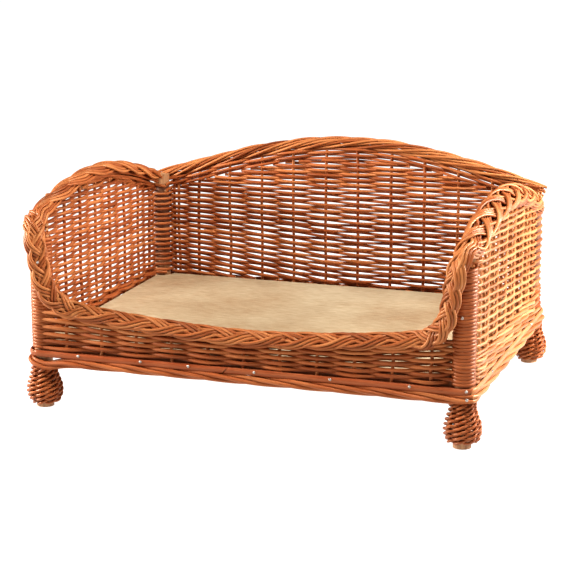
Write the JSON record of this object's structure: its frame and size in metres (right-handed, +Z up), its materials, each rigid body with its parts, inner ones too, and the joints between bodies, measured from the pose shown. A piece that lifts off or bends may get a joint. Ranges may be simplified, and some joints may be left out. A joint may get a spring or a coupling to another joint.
{
  "type": "wicker pet bed basket",
  "caption": "Woven willow pet bed with arched back and arms, low plaited front, roped borders, flat floor board and short woven feet.",
  "frame": {"origin": "on the floor, at the middle of the box round the whole basket", "axes": "+X to the right of someone facing the low front, +Y to the back, +Z up"},
  "size_m": [0.719, 0.5594, 0.361],
  "materials": {
    "willow_weave": "satin, smoked buff willow",
    "willow_split": "satin, split willow rod",
    "willow_stick": "satin, thick willow stick",
    "post_wood": "bare pale wood",
    "board_wood": "bare pale board",
    "nail_steel": "polished nail head"
  },
  "bodies": {
    "root": {"post_front_left": "post_wood", "post_front_right": "post_wood", "post_back_left": "post_wood", "post_back_right": "post_wood", "woven_foot_front_left": "willow_weave", "woven_foot_front_right": "willow_weave", "woven_foot_back_left": "willow_weave", "woven_foot_back_right": "willow_weave", "post_winding_front_left": "willow_weave", "post_winding_front_right": "willow_weave", "post_winding_back_left": "willow_weave", "post_winding_back_right": "willow_weave", "rail_front": "willow_stick", "rail_back": "willow_stick", "rail_left": "willow_stick", "rail_right": "willow_stick", "base_slat_1": "willow_stick", "base_slat_2": "willow_stick", "base_slat_3": "willow_stick", "base_board": "board_wood", "band_front": "willow_split", "band_back": "willow_split", "band_left": "willow_split", "band_right": "willow_split", "lower_border_front": "willow_weave", "lower_border_back": "willow_weave", "lower_border_left": "willow_weave", "lower_border_right": "willow_weave", "nail_front_1": "nail_steel", "nail_front_2": "nail_steel", "nail_front_3": "nail_steel", "nail_front_4": "nail_steel", "nail_front_5": "nail_steel", "nail_front_6": "nail_steel", "nail_back_1": "nail_steel", "nail_back_2": "nail_steel", "nail_left_1": "nail_steel", "nail_left_2": "nail_steel", "nail_right_1": "nail_steel", "nail_right_2": "nail_steel", "back_stake_01": "willow_stick", "back_stake_02": "willow_stick", "back_stake_03": "willow_stick", "back_stake_04": "willow_stick", "back_stake_05": "willow_stick", "back_stake_06": "willow_stick", "back_stake_07": "willow_stick", "back_stake_08": "willow_stick", "back_stake_09": "willow_stick", "back_stake_10": "willow_stick", "back_stake_11": "willow_stick", "back_stake_12": "willow_stick", "woven_back": "willow_weave", "woven_front": "willow_weave", "woven_arm_left": "willow_weave", "woven_arm_right": "willow_weave", "back_rim": "willow_weave", "plait_front": "willow_weave", "plait_arm_left": "willow_weave", "plait_arm_right": "willow_weave"}
  },
  "joints": []
}
